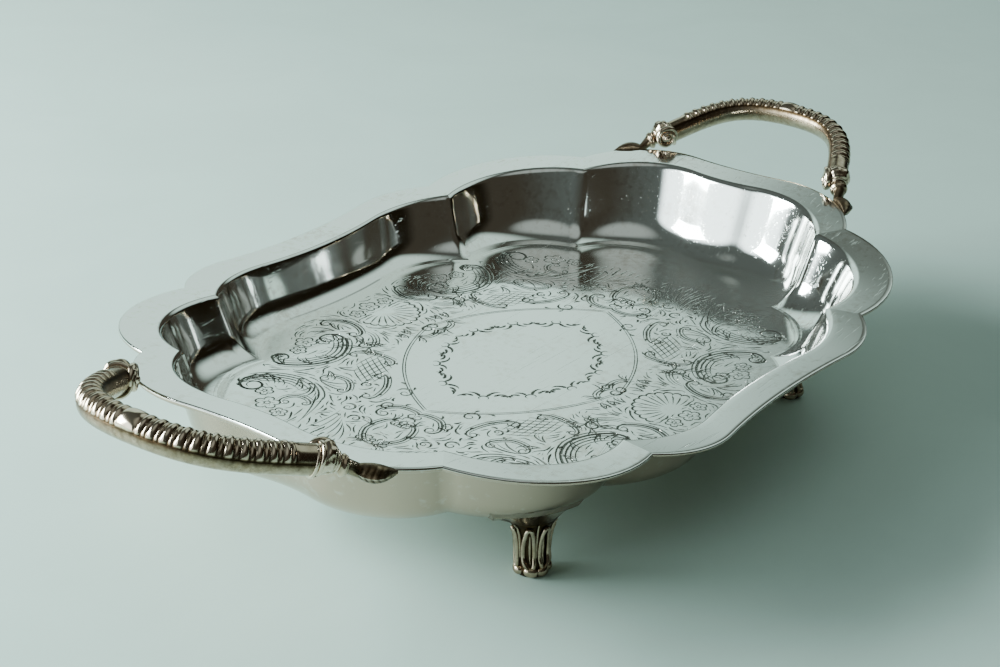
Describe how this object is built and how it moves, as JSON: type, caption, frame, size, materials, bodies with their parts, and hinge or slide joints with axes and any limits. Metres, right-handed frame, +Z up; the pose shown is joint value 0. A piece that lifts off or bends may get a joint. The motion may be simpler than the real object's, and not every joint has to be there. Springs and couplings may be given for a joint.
{
  "type": "serving tray",
  "caption": "Footed silver-plated serving tray with a lobed rim, an engraved well, gadrooned loop handles and cast leaf feet.",
  "frame": {"origin": "on the table, under the middle of the tray, in the plane of the soles of the feet", "axes": "+X along the tray's length to the right handle, +Y to the back long side, +Z up"},
  "size_m": [0.4576, 0.2516, 0.0879],
  "materials": {
    "bright_silver_plate": "polished, with fine scratches",
    "toned_silver_plate": "worn and tarnished in the recesses",
    "solder": "dull"
  },
  "bodies": {
    "root": {"tray_body": "bright_silver_plate", "handle_left_face": "toned_silver_plate", "handle_left_back": "toned_silver_plate", "handle_right_face": "toned_silver_plate", "handle_right_back": "toned_silver_plate", "foot_front_left": "toned_silver_plate", "foot_front_right": "toned_silver_plate", "foot_back_left": "toned_silver_plate", "foot_back_right": "toned_silver_plate", "foot_solder": "solder", "handle_solder": "solder"}
  },
  "joints": []
}
